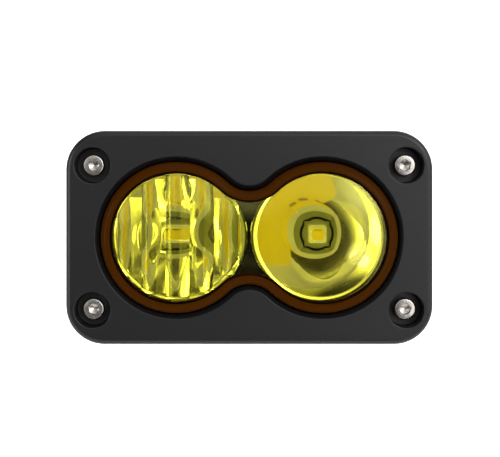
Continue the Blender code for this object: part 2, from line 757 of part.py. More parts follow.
def corner_fasteners():
    """The four socket-head screws with the washer, lock nut and nylon ring that go behind the panel."""
    top = -SCREW_HEAD_HEIGHT
    screw = turned(
        "corner_screw_1",
        [
            (SCREW_HEAD_RADIUS - 0.35 * MM, top),
            (SCREW_HEAD_RADIUS, top + 0.35 * MM),
            (SCREW_HEAD_RADIUS, 0.0),
            (SCREW_RADIUS, 0.0),
            (SCREW_RADIUS, SCREW_LENGTH - 0.4 * MM),
            (SCREW_RADIUS - 0.4 * MM, SCREW_LENGTH),
        ],
        18,
    )
    cut(screw, prism("socket", polygon(2.5 * MM), top - MM, top + 1.6 * MM))
    washer = turned(
        "washer_1",
        [(3.5 * MM, 0.0), (3.5 * MM, WASHER_THICKNESS), (1.7 * MM, WASHER_THICKNESS), (1.7 * MM, 0.0)],
        16,
        hollow=True,
    )
    collar = NUT_HEIGHT * 0.68
    bore = SCREW_RADIUS + 0.15 * MM
    nut = loft(
        "lock_nut_1",
        [
            ring(polygon(NUT_FLATS), 0.0),
            ring(polygon(NUT_FLATS), collar),
            ring(polygon(NUT_FLATS * 0.9), collar),
            ring(polygon(NUT_FLATS * 0.88), NUT_HEIGHT),
        ],
    )
    ring_radius = 2.15 * MM
    ring_front = NUT_HEIGHT - 1.2 * MM
    cut(
        nut,
        prism("thread_hole", circle(bore, COARSE), -MM, NUT_HEIGHT + MM),
        prism("ring_seat", circle(ring_radius, COARSE), ring_front, NUT_HEIGHT + MM),
    )
    outer, inner = circle(ring_radius - 0.1 * MM, COARSE), circle(bore, COARSE)
    nylon = band("nut_ring_1", outer, inner, ring_front + 0.1 * MM, NUT_HEIGHT - 0.15 * MM)

    head_seat = BEZEL_FRONT + COUNTERBORE_DEPTH - GAP
    washer_front = PANEL_THICKNESS
    nut_front = washer_front + WASHER_THICKNESS + GAP
    for piece, name, y, look in (
        (screw, "corner_screw", head_seat, STEEL),
        (washer, "washer", washer_front, STEEL),
        (nut, "lock_nut", nut_front, STEEL),
        (nylon, "nut_ring", nut_front, NYLON),
    ):
        places = [(x, y, z) for x, z in corner_places()]
        place_copies(piece, [(f"{name}_{i + 1}", p) for i, p in enumerate(places)], look)


# ---------------------------------------------------------------- cable gland and breather


def cable_gland():
    """The cable's inlet: a hexagonal body in the rear boss, its O-ring, a rubber sleeve and a cap nut."""
    spigot, face = 4.75 * MM, FIN_TIP + 0.9 * MM
    hex_back, neck_back = face + 2.6 * MM, face + 5.6 * MM
    neck = 4.4 * MM
    body = prism("gland_body", polygon(GLAND_FLATS), face, hex_back)
    join(
        body,
        prism("spigot", circle(spigot), FIN_TIP - 5.5 * MM, face + MM),
        prism("neck", circle(neck), hex_back - MM, neck_back),
    )
    cut(
        body,
        prism("bore", circle(CABLE_BORE), FIN_TIP - 7 * MM, face + 2 * MM),
        prism("sleeve_seat", circle(3.5 * MM), face + MM, neck_back + MM),
    )
    finished(body, *BLACK_METAL)

    oring = band("gland_oring", circle(6.4 * MM), circle(5.1 * MM), FIN_TIP + 0.05 * MM, face - 0.05 * MM)
    finished(oring, *RUBBER)

    sleeve_back = neck_back + 0.5 * MM
    sleeve = band("gland_seal", circle(3.3 * MM), circle(CABLE_BORE), face + MM + GAP, sleeve_back)
    finished(sleeve, *RUBBER)

    nut_front, nut_back = hex_back + GAP, neck_back + 2.4 * MM
    nut = prism("gland_nut", polygon(GLAND_FLATS - 1 * MM), nut_front, nut_back - 1.2 * MM)
    dome = turned(
        "dome", [(5.7 * MM, nut_back - 1.4 * MM), (5.7 * MM, nut_back - 0.9 * MM), (4.4 * MM, nut_back)]
    )
    join(nut, dome)
    cut(
        nut,
        prism("thread", circle(neck + 0.2 * MM), nut_front - MM, sleeve_back + 0.3 * MM),
        prism("mouth", circle(CABLE_BORE + 0.2 * MM), nut_front - MM, nut_back + MM),
    )
    finished(nut, *BLACK_PLASTIC)


def breather():
    """The vent in the underside: a hollow body, its O-ring, a membrane disc and a cap with air slots."""
    flange_front = VENT_SEAT_Z - 0.7 * MM
    flange_radius, stem, stem_bore = 4.6 * MM, 2.1 * MM, 1.1 * MM
    cup_floor = flange_front - 0.8 * MM
    cup_front = -BODY_RADIUS + 0.9 * MM
    body = turned(
        "vent_body",
        [
            (flange_radius, cup_front),
            (flange_radius, flange_front),
            (stem, flange_front),
            (stem, VENT_SEAT_Z + 5.0 * MM),
            (stem_bore, VENT_SEAT_Z + 5.0 * MM),
            (stem_bore, cup_floor),
            (flange_radius - 0.7 * MM, cup_floor),
            (flange_radius - 0.7 * MM, cup_front),
        ],
        hollow=True,
    )
    slack = 0.05 * MM
    oring = band(
        "vent_oring",
        circle(3.8 * MM),
        circle(2.5 * MM),
        flange_front + slack,
        VENT_SEAT_Z - slack,
    )
    disc_back = cup_floor - 0.1 * MM
    membrane = prism("vent_membrane", circle(flange_radius - MM), disc_back - 0.2 * MM, disc_back)
    cap_back = cup_front - 0.15 * MM
    cap = prism("vent_cap", circle(flange_radius), -BODY_RADIUS - 0.2 * MM, cap_back)
    for turn in (0, 1):
        sizes = (1.0 * MM, 12 * MM) if turn else (12 * MM, 1.0 * MM)
        cut(cap, box("air_slot", *sizes, cap_back - 0.35 * MM, cap_back + MM))
    for made, look in ((body, BLACK_PLASTIC), (oring, RUBBER), (membrane, NYLON), (cap, BLACK_PLASTIC)):
        upright(made, VENT_Y)
        finished(made, *look)


# ---------------------------------------------------------------- the light


def build():
    for old in list(bpy.data.objects):
        bpy.data.objects.remove(old)
    front_bezel()
    lens()
    lens_seal()
    panel_gasket()
    housing()
    optic_carrier()
    reflector("reflector_left", -LOBE_X)
    reflector("reflector_right", LOBE_X)
    fluted_optic()
    led_board()
    thermal_pad()
    led("left", -LOBE_X)
    led("right", LOBE_X)
    driver_board()
    inductor()
    capacitor("input_capacitor", -1.0 * MM, 5.3 * MM)
    capacitor("output_capacitor", 0.2 * MM, -5.4 * MM)
    flat_part("driver_chip", 3.6 * MM, 2.4 * MM, 1.5 * MM, 5.4 * MM, -1.4 * MM)
    flat_part("surge_diode", 2.4 * MM, 1.8 * MM, 1.6 * MM, -5.3 * MM, -6.1 * MM)
    board_link()
    small_screws()
    corner_fasteners()
    cable_gland()
    breather()


build()
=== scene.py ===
"""The looks of a flush-mount twin-LED fog light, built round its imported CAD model.

Metres, +Z up. The light looks along -Y. The origin is the middle of the plane in which the
panel gasket meets the vehicle's panel.
"""

import math

import bmesh
import bpy
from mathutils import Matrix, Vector


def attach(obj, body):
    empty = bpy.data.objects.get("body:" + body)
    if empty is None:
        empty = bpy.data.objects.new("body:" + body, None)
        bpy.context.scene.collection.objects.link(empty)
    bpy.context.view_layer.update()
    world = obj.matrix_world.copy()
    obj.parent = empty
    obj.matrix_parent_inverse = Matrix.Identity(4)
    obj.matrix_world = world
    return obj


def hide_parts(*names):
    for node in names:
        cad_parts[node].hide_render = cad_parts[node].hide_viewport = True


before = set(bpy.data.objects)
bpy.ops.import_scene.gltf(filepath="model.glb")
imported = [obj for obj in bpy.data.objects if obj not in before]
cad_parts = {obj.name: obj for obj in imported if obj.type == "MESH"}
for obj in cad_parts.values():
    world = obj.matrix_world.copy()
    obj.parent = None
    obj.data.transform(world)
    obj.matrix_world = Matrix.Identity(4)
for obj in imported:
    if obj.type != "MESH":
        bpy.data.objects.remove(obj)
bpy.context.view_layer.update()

MM = 0.001

# Camera: it looks along +Y from a little above and left of the middle
CAMERA_X, CAMERA_Z = -5.5 * MM, 16.5 * MM
CAMERA_DISTANCE = 340.0 * MM
PIXELS_PER_MM = 4.0
IMAGE_WIDTH = 500
SENSOR = 36.0
SHIFT_X, SHIFT_Y = 0.0452, -0.1136

# Front flange
FLANGE_WIDTH, FLANGE_HEIGHT, FLANGE_CORNER = 92.0 * MM, 53.6 * MM, 9.75 * MM
BEZEL_FILLET = 1.4 * MM
BEZEL_FRONT, BEZEL_BACK = -12.0 * MM, -4.65 * MM
SCREW_X, SCREW_Z = 39.25 * MM, 18.1 * MM
SCREW_SIGNS = ((-1, 1), (1, 1), (-1, -1), (1, -1))
COUNTERBORE_DEPTH = 5.8 * MM

# Figure-of-eight outline
LOBE_X = 18.3 * MM
LENS_RADIUS = 18.95 * MM
WAIST_HALF = 11.7 * MM
WAIST_RADIUS = (LOBE_X**2 + WAIST_HALF**2 - LENS_RADIUS**2) / (2 * (LENS_RADIUS - WAIST_HALF))
WAIST_Z = WAIST_HALF + WAIST_RADIUS

# Lens
LENS_FRONT, LENS_BACK = -13.0 * MM, -4.9 * MM
LENS_WALL = 2.35 * MM
LENS_SHOULDER = 1.9 * MM
LENS_FLANGE = 1.65 * MM
LENS_FLANGE_FRONT = -6.75 * MM

# Optics
FOCAL_LENGTH = 4.4 * MM
RIM_FRONT = -1.8 * MM
APERTURE_RADIUS = 16.3 * MM
RIM_RADIUS = 17.95 * MM
REFLECTOR_WALL = 1.3 * MM
REFLECTOR_BACK = 12.3 * MM
NECK_NOTCH = 7.1 * MM
NECK_LIP = 0.2 * MM  # width of the neck's own lip, coloured black as a painted shadow gap round the neck
COLLAR_FRONT = 11.65 * MM  # where that lip begins
LED_BACK = 9.7 * MM
LED_SIZE, DIE_SIZE, DOME_RADIUS = 5.0 * MM, 2.4 * MM, 2.3 * MM
VERTEX_Y = RIM_FRONT + APERTURE_RADIUS**2 / (4 * FOCAL_LENGTH)
FLUTE_PITCH = 6.2 * MM
FLUTE_HEIGHTS = (10.1 * MM, 14.9 * MM, 16.3 * MM, 14.9 * MM, 10.1 * MM)

# Housing
BODY_RADIUS = 20.9 * MM
HOUSING_FRONT, HOUSING_FLANGE_BACK = -4.4 * MM, -1.5 * MM
CAVITY_LEDGE, CAVITY_FLOOR, POCKET_FLOOR = 1.85 * MM, 15.2 * MM, 24.4 * MM
FIN_ROOT, BLOCK_BACK, FIN_TIP = 19.2 * MM, 26.8 * MM, 31.8 * MM
FIN_PITCH, FIN_THICKNESS, FIN_COUNT = 4.6 * MM, 1.8 * MM, 17
BREATHER_Y = 7.0 * MM
VENT_SEAT_Z = -18.3 * MM

TURN = 72  # sides of a large round piece

# Studio. Its brightness by degrees from its axis: the lens's flat face mirrors the dark part in
# the middle, and the bowls gather the bright ring round it.
STUDIO_AXIS = (0.016, -1.0, -0.05)
STUDIO_LEVELS = ((8, 0.03), (10, 0.4), (13, 1.3), (38, 1.3), (50, 1.0), (90, 0.7))

# The side that the light comes from, and the factors away from it and towards it
STUDIO_SIDE = (0.9, 0.0, 0.35)
SIDE_SPAN = (-0.4, 0.4)
SIDE_LEVELS = (0.3, 1.9)

# Lamps: the direction, the spread in degrees and the brightness
STUDIO_LAMPS = (
    ((0.36, -1.0, 0.24), 12, 7.0),
    ((0.25, -1.0, -0.13), 4, 7.0),
    ((-0.4, -1.0, 0.1), 8, 3.0),
)

# The dark table: the heights of direction between which it fades out, and its level
TABLE_EDGE = (-0.3, -0.17)
TABLE_LEVEL = 0.06

# Paper sweep behind and under the light, in metres
SWEEP_START, SWEEP_BACK, SWEEP_CURVE = -0.25, 0.9, 0.4
SWEEP_FLOOR, SWEEP_TOP, SWEEP_HALF_WIDTH = -0.16, 1.2, 2.0


# ---------------------------------------------------------------- outlines and solids


def arc(centre_x, centre_z, radius, start, end, steps):
    angles = (math.radians(start + (end - start) * i / steps) for i in range(steps + 1))
    return [(centre_x + radius * math.cos(a), centre_z + radius * math.sin(a)) for a in angles]


def circle(radius, sides=TURN, centre_x=0.0, centre_z=0.0):
    return arc(centre_x, centre_z, radius, 0, 360, sides)[:-1]


def polygon(flats, sides=6):
    return circle(flats / 2 / math.cos(math.pi / sides), sides)


def rounded_rectangle(width, height, corner, steps=14):
    x, z = width / 2 - corner, height / 2 - corner
    corners = ((x, z, 0), (-x, z, 90), (-x, -z, 180), (x, -z, 270))
    return [p for cx, cz, start in corners for p in arc(cx, cz, corner, start, start + 90, steps)]


def flange_outline(inset):
    """The flange's outline, moved inwards by inset."""
    width, height = FLANGE_WIDTH - 2 * inset, FLANGE_HEIGHT - 2 * inset
    return rounded_rectangle(width, height, FLANGE_CORNER - inset)


def rectangle(width, height, centre_x=0.0, centre_z=0.0):
    x, z = width / 2, height / 2
    signs = ((1, 1), (-1, 1), (-1, -1), (1, -1))
    return [(centre_x + sx * x, centre_z + sz * z) for sx, sz in signs]


def stadium(radius, steps=36):
    return arc(LOBE_X, 0, radius, -90, 90, steps) + arc(-LOBE_X, 0, radius, 90, 270, steps)


def figure_eight(offset=0.0, lobe_steps=72, waist_steps=16):
    """The lens's outline, moved outwards by offset."""
    tangent = math.degrees(math.atan2(WAIST_Z, -LOBE_X))
    lobe, waist = LENS_RADIUS + offset, WAIST_RADIUS - offset
    right = arc(LOBE_X, 0, lobe, -tangent, tangent, lobe_steps)
    left = arc(-LOBE_X, 0, lobe, 180 - tangent, 180 + tangent, lobe_steps)
    top = arc(0, WAIST_Z, waist, tangent - 180, -tangent, waist_steps)[1:-1]
    bottom = arc(0, -WAIST_Z, waist, tangent, 180 - tangent, waist_steps)[1:-1]
    return right + top + left + bottom


def ring(outline, y):
    return [(x, y, z) for x, z in outline]


def new_object(name, bm):
    bmesh.ops.recalc_face_normals(bm, faces=bm.faces)
    mesh = bpy.data.meshes.new(name)
    bm.to_mesh(mesh)
    bm.free()
    made = bpy.data.objects.new(name, mesh)
    bpy.context.scene.collection.objects.link(made)
    return made


def loft(name, rings, closed=False):
    """A skin over rings of equal length. Closed joins the last ring to the first."""
    bm = bmesh.new()
    loops = [[bm.verts.new(point) for point in points] for points in rings]
    pairs = list(zip(loops, loops[1:]))
    if closed:
        pairs.append((loops[-1], loops[0]))
    else:
        bm.faces.new(loops[0][::-1])
        bm.faces.new(loops[-1])
    for first, second in pairs:
        for i in range(len(first)):
            j = (i + 1) % len(first)
            bm.faces.new((first[i], first[j], second[j], second[i]))
    return new_object(name, bm)


def prism(name, outline, front, back):
    return loft(name, [ring(outline, front), ring(outline, back)])


def turned(name, profile, sides=TURN, hollow=False):
    """A piece turned about the Y axis from (radius, y) points."""
    return loft(name, [ring(circle(radius, sides), y) for radius, y in profile], closed=hollow)


def box(name, width, height, front, back, centre_x=0.0, centre_z=0.0):
    return prism(name, rectangle(width, height, centre_x, centre_z), front, back)


def moved(made, x=0.0, y=0.0, z=0.0):
    for vertex in made.data.vertices:
        vertex.co.x += x
        vertex.co.y += y
        vertex.co.z += z
    return made


def upright(made, y):
    """Turns a piece made about the Y axis so that its old y runs along Z, and moves it to y."""
    for vertex in made.data.vertices:
        x, along, across = vertex.co
        vertex.co = (x, y + across, along)
    made.data.flip_normals()
    return made


def apply_modifiers(made):
    bpy.context.view_layer.objects.active = made
    for modifier in list(made.modifiers):
        bpy.ops.object.modifier_apply(modifier=modifier.name)
    return made


def combine(body, others, operation):
    for other in others:
        modifier = body.modifiers.new(operation.lower(), "BOOLEAN")
        modifier.operation = operation
        modifier.object = other
        apply_modifiers(body)
        bpy.data.objects.remove(other)
    return body


def cut(body, *cutters):
    return combine(body, cutters, "DIFFERENCE")


def join(body, *others):
    return combine(body, others, "UNION")


def fillet(corner, radius, start, end, steps=6):
    """Points of a convex arc about corner, in (offset, y), from start to end degrees."""
    angles = (math.radians(start + (end - start) * i / steps) for i in range(steps + 1))
    return [(corner[0] + radius * math.cos(a), corner[1] + radius * math.sin(a)) for a in angles]


def bevelled(made, width, angle=50, segments=2):
    """Rounds the sharp edges of a finished solid."""
    modifier = made.modifiers.new("edges", "BEVEL")
    modifier.width = width
    modifier.segments = segments
    modifier.limit_method = "ANGLE"
    modifier.angle_limit = math.radians(angle)
    modifier.use_clamp_overlap = True
    return apply_modifiers(made)


# ---------------------------------------------------------------- materials


def material(
    name,
    colour,
    roughness,
    metallic=0.0,
    spread=0.06,
    rough_spread=0.08,
    grain=0.6 * MM,
    bump=0.0,
    bump_size=0.2 * MM,
    transmission=0.0,
    ior=1.5,
    specular=0.5,
    subsurface=0.0,
    glow=0.0,
):
    """A material whose colour and roughness drift with noise, with a fine bump where asked, and
    painted light where glow is set: an emission of its own colour on parts that are no lamp.
    """
    made = bpy.data.materials.new(name)
    made.use_nodes = True
    nodes, links = made.node_tree.nodes, made.node_tree.links
    shader = nodes["Principled BSDF"]
    shader.inputs["Metallic"].default_value = metallic
    shader.inputs["IOR"].default_value = ior
    shader.inputs["Transmission Weight"].default_value = transmission
    shader.inputs["Specular IOR Level"].default_value = specular
    # Painted light: a glow in the material's own colour, used on parts that are no lamp.
    shader.inputs["Emission Color"].default_value = (*colour, 1.0)
    shader.inputs["Emission Strength"].default_value = glow
    if subsurface:
        shader.inputs["Subsurface Weight"].default_value = subsurface
        shader.inputs["Subsurface Radius"].default_value = (0.6 * MM, 0.5 * MM, 0.3 * MM)
        shader.inputs["Subsurface Scale"].default_value = 1.0
    place = nodes.new("ShaderNodeTexCoord")
    drift = nodes.new("ShaderNodeTexNoise")
    drift.inputs["Scale"].default_value = 1 / grain / 10
    drift.inputs["Detail"].default_value = 5.0
    links.new(place.outputs["Object"], drift.inputs["Vector"])

    tint = nodes.new("ShaderNodeMix")
    tint.data_type = "RGBA"
    low, high = (tuple(min(1.0, c * (1 + s)) for c in colour) for s in (-spread, spread))
    tint.inputs["A"].default_value = (*low, 1.0)
    tint.inputs["B"].default_value = (*high, 1.0)
    links.new(drift.outputs["Fac"], tint.inputs["Factor"])
    links.new(tint.outputs["Result"], shader.inputs["Base Color"])

    fine = nodes.new("ShaderNodeTexNoise")
    fine.inputs["Scale"].default_value = 1 / bump_size / 3
    fine.inputs["Detail"].default_value = 3.0
    links.new(place.outputs["Object"], fine.inputs["Vector"])
    rough = nodes.new("ShaderNodeMapRange")
    rough.inputs["To Min"].default_value = max(0.0, roughness * (1 - rough_spread))
    rough.inputs["To Max"].default_value = roughness * (1 + rough_spread)
    links.new(fine.outputs["Fac"], rough.inputs["Value"])
    links.new(rough.outputs["Result"], shader.inputs["Roughness"])
    if bump:
        relief = nodes.new("ShaderNodeBump")
        relief.inputs["Strength"].default_value = bump
        relief.inputs["Distance"].default_value = bump_size / 2
        links.new(fine.outputs["Fac"], relief.inputs["Height"])
        links.new(relief.outputs["Normal"], shader.inputs["Normal"])
    return made


LOOKS = {
    "bezel_black": material(
        "bezel_black",
        (0.003, 0.003, 0.0031),
        0.34,
        bump=0.12,
        bump_size=0.12 * MM,
        spread=0.1,
        specular=0.27,
    ),
    "cast_black": material(
        "cast_black", (0.02, 0.02, 0.021), 0.55, bump=0.35, bump_size=0.25 * MM, spread=0.15
    ),
    "black_plastic": material(
        "black_plastic",
        (0.006, 0.006, 0.006),
        0.4,
        bump=0.15,
        bump_size=0.15 * MM,
        spread=0.1,
        specular=0.1,
    ),
    "rubber": material("rubber", (0.02, 0.02, 0.02), 0.8, bump=0.4, bump_size=0.3 * MM, spread=0.2),
    "silicone": material("silicone", (0.35, 0.08, 0.04), 0.6, bump=0.15, subsurface=0.2),
    "lens_window": material(
        "lens_window",
        (0.965, 0.935, 0.25),
        0.0,
        transmission=1.0,
        ior=1.58,
        spread=0.004,
        rough_spread=0.0,
    ),
    "lens_wall": material(
        "lens_wall", (0.030, 0.0085, 0.0003), 0.05, specular=0.012, spread=0.03, grain=3 * MM
    ),
    "clear_plastic": material(
        "clear_plastic",
        (0.98, 0.985, 0.96),
        0.0,
        transmission=1.0,
        ior=1.49,
        spread=0.003,
        rough_spread=0.0,
    ),
    "dome_silicone": material(
        "dome_silicone",
        (0.985, 0.985, 0.975),
        0.0,
        transmission=1.0,
        ior=1.41,
        spread=0.003,
        rough_spread=0.0,
    ),
    "mirror": material(
        "mirror", (0.88, 0.88, 0.86), 0.03, 1.0, spread=0.01, rough_spread=0.3, grain=2 * MM
    ),
    "steel": material(
        "steel", (0.31, 0.29, 0.265), 0.24, 1.0, spread=0.12, rough_spread=0.35, bump=0.12
    ),
    "nylon": material("nylon", (0.7, 0.72, 0.75), 0.45, subsurface=0.3),
    "board_white": material("board_white", (0.55, 0.58, 0.48), 0.45, bump=0.08),
    "board_green": material("board_green", (0.03, 0.16, 0.07), 0.4, bump=0.1),
    "pad_grey": material("pad_grey", (0.4, 0.42, 0.45), 0.85, bump=0.3),
    # Painted light: the ceramic base glows though the LED is off, which brightens its image in the
    # bowls.
    "ceramic": material("ceramic", (0.88, 0.86, 0.74), 0.45, bump=0.05, glow=0.22),
    # Painted light: the phosphor glows though the LED is off, which keeps its yellow image in the
    # bowls bright.
    "phosphor": material("phosphor", (0.95, 0.72, 0.03), 0.7, spread=0.04, bump=0.1, glow=0.35),
    "bond_pad": material("bond_pad", (0.5, 0.25, 0.03), 0.5),
    "chip_black": material("chip_black", (0.02, 0.02, 0.02), 0.55, bump=0.2),
    "can_metal": material("can_metal", (0.75, 0.75, 0.76), 0.28, 1.0, rough_spread=0.3),
}


def shaded(made, *looks, angle=32, weighted=False):
    """Gives a piece its materials and smooth shading with sharp edges above angle."""
    made.data.materials.clear()
    for look in looks:
        made.data.materials.append(LOOKS[look])
    made.data.shade_smooth()
    made.data.set_sharp_from_angle(angle=math.radians(angle))
    if weighted:
        modifier = made.modifiers.new("normals", "WEIGHTED_NORMAL")
        modifier.keep_sharp = True
        modifier.weight = 100
    return made


def stands_for(made, slot, *nodes):
    """Puts a finished piece on the light's body, in place of its CAD nodes."""
    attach(made, "root")
    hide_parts(*nodes)
    return made


# ---------------------------------------------------------------- bezel, lens and gasket


def corner_places():
    return [(sx * SCREW_X, sz * SCREW_Z) for sx, sz in SCREW_SIGNS]


def bezel():
    """The front frame, with filleted edges on its rim, its window and its counterbores."""

    def outline(inset, y):
        return ring(flange_outline(inset), y)

    steps = 9
    turns = [math.pi / 2 * (steps - i) / steps for i in range(steps + 1)]
    rings = [
        outline(BEZEL_FILLET * (1 - math.cos(t)), BEZEL_FRONT + BEZEL_FILLET * (1 - math.sin(t)))
        for t in turns
    ]
    back_break = 0.4 * MM
    rings.append(outline(0, BEZEL_BACK - back_break))
    rings.append(outline(back_break, BEZEL_BACK))
    plate = loft("front_bezel_fine", rings)

    # The window: a rounded edge, a 45 degree chamfer, then a straight wall.
    edge, chamfer, clearance = 0.22 * MM, 1.1 * MM, 0.35 * MM
    reach = edge * math.tan(math.radians(22.5))
    centre = (clearance + chamfer + reach, BEZEL_FRONT + edge)
    rounded = fillet(centre, edge, -86, -135, 5)
    chain = [(rounded[0][0], BEZEL_FRONT - MM), *rounded]
    low = (clearance + edge * 0.29, BEZEL_FRONT + chamfer - edge * 0.29)
    chain += [low, (clearance, BEZEL_FRONT + chamfer + edge * 0.4), (clearance, BEZEL_BACK + MM)]
    window = loft("window_cutter", [ring(figure_eight(o), y) for o, y in chain])
    room = figure_eight(LENS_FLANGE + 0.25 * MM)
    rebate = prism("rebate_cutter", room, LENS_FLANGE_FRONT - 0.25 * MM, BEZEL_BACK + MM)
    cut(plate, window, rebate)

    bore, hole, edge = 4.5 * MM, 1.7 * MM, 0.25 * MM
    floor = BEZEL_FRONT + COUNTERBORE_DEPTH
    rounded = fillet((bore + edge, BEZEL_FRONT + edge), edge, -86, -180, 6)
    for x, z in corner_places():
        profile = [(rounded[0][0], BEZEL_FRONT - MM), *rounded]
        profile += [(bore, floor - 0.2 * MM), (bore - 0.2 * MM, floor)]
        profile += [(hole, floor), (hole, BEZEL_BACK + MM)]
        cut(plate, moved(turned("bore_cutter", profile, 48), x=x, z=z))
    shaded(plate, "bezel_black", weighted=True)
    return stands_for(plate, "black_metal", "front_bezel")


def lens():
    """The amber cup. Its flat front and inner face are clear, and its deep wall is darker."""
    inner_face = LENS_FRONT + LENS_WALL
    inner_round, outer_flange_edge = 0.6 * MM, 0.2 * MM
    steps = 5
    inner = [
        (
            -LENS_WALL - inner_round * (1 - math.sin(math.pi / 2 * i / steps)),
            inner_face + inner_round * (1 - math.cos(math.pi / 2 * i / steps)),
        )
        for i in range(steps + 1)
    ]
    foot = [
        (-LENS_WALL, LENS_BACK),
        (LENS_FLANGE - outer_flange_edge, LENS_BACK),
        (LENS_FLANGE, LENS_BACK - outer_flange_edge),
        (LENS_FLANGE, LENS_FLANGE_FRONT + outer_flange_edge),
        (LENS_FLANGE - outer_flange_edge, LENS_FLANGE_FRONT),
        (0.0, LENS_FLANGE_FRONT),
    ]
    steps = 10
    shoulder = [
        (
            -LENS_SHOULDER * (1 - math.cos(math.pi / 2 * i / steps)),
            LENS_FRONT + LENS_SHOULDER * (1 - math.sin(math.pi / 2 * i / steps)),
        )
        for i in range(steps + 1)
    ]
    chain = inner + foot + shoulder + [(-LENS_WALL, LENS_FRONT)]
    made = loft("lens_fine", [ring(figure_eight(o), y) for o, y in chain])
    shaded(made, "lens_window", "lens_wall", angle=40)
    wall_faces = (len(chain) - 1) * len(figure_eight())
    for face in made.data.polygons:
        face.material_index = 0 if len(face.vertices) > 4 else 1
    assert len(made.data.polygons) == wall_faces + 2
    return stands_for(made, "amber_plastic", "lens")


def panel_gasket():
    """The flat rubber ring between the housing's flange and the panel."""
    inset, front, edge = 0.5 * MM, HOUSING_FLANGE_BACK + 0.25 * MM, 0.15 * MM
    rings = []
    for extra, y in ((edge, front), (0, front + edge), (0, -edge), (edge, 0)):
        rings.append(ring(flange_outline(inset + extra), y))
    gasket = loft("panel_gasket_fine", rings)
    cut(gasket, prism("body_cutter", stadium(BODY_RADIUS + 0.5 * MM), front - MM, MM))
    for x, z in corner_places():
        cut(gasket, prism("hole_cutter", circle(2.0 * MM, 32, x, z), front - MM, MM))
    shaded(gasket, "rubber")
    return stands_for(gasket, "rubber", "panel_gasket")


# ---------------------------------------------------------------- optics


def bowl_radius(y):
    return math.sqrt(4 * FOCAL_LENGTH * (VERTEX_Y - y))


def reflector(side, centre_x):
    """A fine paraboloid with a flat rim, rounded lips and a notched neck whose lip is coloured
    black as a painted shadow gap.
    """
    steps, lip = 44, 0.2 * MM
    rim_back = RIM_FRONT + 1.2 * MM
    # Even steps of radius keep the mirror's facets alike.
    start, end = bowl_radius(RIM_FRONT + lip), bowl_radius(REFLECTOR_BACK)
    radii = [start + (end - start) * i / steps for i in range(steps + 1)]
    inside = [(r, VERTEX_Y - r * r / (4 * FOCAL_LENGTH)) for r in radii]
    outside = [(r + REFLECTOR_WALL, y) for r, y in reversed(inside) if y > rim_back + 0.1 * MM]
    profile = inside + outside
    profile += [(bowl_radius(rim_back) + REFLECTOR_WALL, rim_back), (RIM_RADIUS - lip, rim_back)]
    profile += [(RIM_RADIUS, rim_back - lip), (RIM_RADIUS, RIM_FRONT + lip)]
    profile += [(RIM_RADIUS - lip, RIM_FRONT)]
    profile += [(start + lip * 0.9, RIM_FRONT), (start + lip * 0.3, RIM_FRONT + lip * 0.3)]
    made = turned(f"reflector_{side}_fine", profile, 128, hollow=True)
    collar = prism("collar", circle(end + NECK_LIP, 96), COLLAR_FRONT, REFLECTOR_BACK)
    lip_square = NECK_NOTCH + 2 * NECK_LIP
    join(collar, box("collar_corners", lip_square, lip_square, COLLAR_FRONT, REFLECTOR_BACK))
    cut(collar, prism("neck_cutter", circle(end, 96), COLLAR_FRONT - MM, REFLECTOR_BACK + MM))
    join(made, collar)
    cut(made, box("notch_cutter", NECK_NOTCH, NECK_NOTCH, COLLAR_FRONT - MM, REFLECTOR_BACK + MM))
    pin_radius, pin_length = 0.45 * MM, 1.3 * MM
    pin_at = end + REFLECTOR_WALL - pin_radius - 0.05 * MM
    foot, tip = REFLECTOR_BACK - 0.1 * MM, REFLECTOR_BACK + pin_length
    for sign in (-1, 1):
        join(made, prism("pin", circle(pin_radius, 16, sign * pin_at, 0), foot, tip))
    # Painted shade: the neck's lip gets the black material, which draws a dark shadow gap round the
    # hole.
    shaded(made, "mirror", "black_plastic", angle=30)
    for face in made.data.polygons:
        x, y, z = face.center
        in_circle = math.hypot(x, z) < end + NECK_LIP + 0.02 * MM
        in_square = max(abs(x), abs(z)) < lip_square / 2 + 0.01 * MM
        painted_shadow_lip = y > COLLAR_FRONT - 0.05 * MM and (in_circle or in_square)
        face.material_index = 1 if painted_shadow_lip else 0
    moved(made, x=centre_x)
    return stands_for(made, "mirror", f"reflector_{side}")


def carrier():
    """The black piece that seats the two bowls' rims and shows between them."""
    front, back, island = -0.35 * MM, 1.6 * MM, -3.0 * MM
    made = prism("optic_carrier_fine", figure_eight(-0.3 * MM), island, back)
    half = 4.5 * MM
    width = FLANGE_WIDTH / 2 - half
    above = island - MM
    for side in (-1, 1):
        cut(
            made,
            box("side", width, FLANGE_HEIGHT, above, front, centre_x=side * (half + width / 2)),
            prism("rim", circle(18.4 * MM, 96, side * LOBE_X), above, front),
            prism("lip", circle(17.1 * MM, 96, side * LOBE_X), above, back + MM),
        )
    cut(made, box("middle", 3 * half, 8.0 * MM, above, front))
    shaded(made, "black_plastic")
    return stands_for(made, "black_plastic", "optic_carrier")


